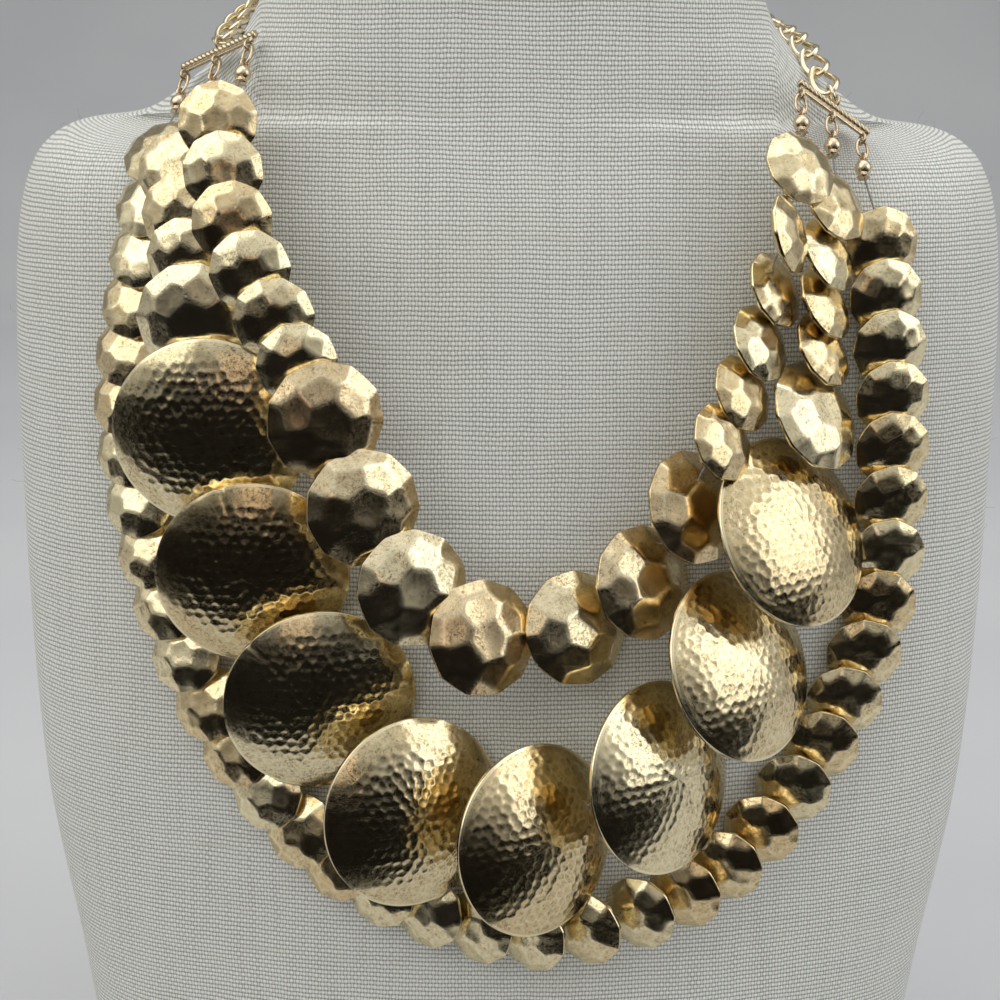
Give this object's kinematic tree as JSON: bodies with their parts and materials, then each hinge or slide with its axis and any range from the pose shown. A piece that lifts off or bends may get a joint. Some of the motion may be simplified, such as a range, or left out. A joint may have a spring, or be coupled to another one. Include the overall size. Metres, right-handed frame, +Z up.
{
  "type": "bib necklace on neck bust",
  "caption": "Bib necklace of overlapping puffed round discs that grow towards the middle, hung by spacer bars from a curb chain and laid on a linen covered neck bust.",
  "frame": {"origin": "middle of the flat base of the bust", "axes": "+Z up, front of the bust and necklace towards -Y, the picture's right towards +X"},
  "size_m": [0.221, 0.1252, 0.297],
  "materials": {
    "linen": "pale grey linen in a plain weave, stretched over a hard body",
    "small_discs": "pale gold plating, faceted, with dark tarnish in the low places",
    "medium_discs": "pale gold plating, faceted, with dark tarnish in the low places",
    "large_discs": "pale gold plating, hammered, with dark tarnish in the dimples",
    "bars": "worn golden brown plating",
    "drops": "bright rose gold plating",
    "chain": "bright yellow gold plating"
  },
  "bodies": {
    "root": {"bead_tip_left_inner": "drops", "bead_tip_left_middle": "drops", "bead_tip_left_outer": "drops", "bead_tip_right_inner": "drops", "bead_tip_right_middle": "drops", "bead_tip_right_outer": "drops", "clasp": "chain", "drop_link_left_inner": "drops", "drop_link_left_middle": "drops", "drop_link_left_outer": "drops", "drop_link_right_inner": "drops", "drop_link_right_middle": "drops", "drop_link_right_outer": "drops", "inner_left_string": "small_discs", "inner_medium_disc_1": "medium_discs", "inner_medium_disc_2": "medium_discs", "inner_medium_disc_3": "medium_discs", "inner_medium_disc_4": "medium_discs", "inner_medium_disc_5": "medium_discs", "inner_medium_disc_6": "medium_discs", "inner_medium_disc_7": "medium_discs", "inner_right_string": "small_discs", "jump_ring_left": "chain", "jump_ring_right": "chain", "large_disc_1": "large_discs", "large_disc_2": "large_discs", "large_disc_3": "large_discs", "large_disc_4": "large_discs", "large_disc_5": "large_discs", "large_disc_6": "large_discs", "large_disc_7": "large_discs", "large_disc_8": "large_discs", "middle_left_string": "small_discs", "middle_medium_disc_left": "medium_discs", "middle_medium_disc_right": "medium_discs", "middle_right_string": "small_discs", "neck_bust": "linen", "neck_chain_left": "chain", "neck_chain_right": "chain", "outer_string": "small_discs", "spacer_bar_left": "bars", "spacer_bar_right": "bars"}
  },
  "joints": []
}
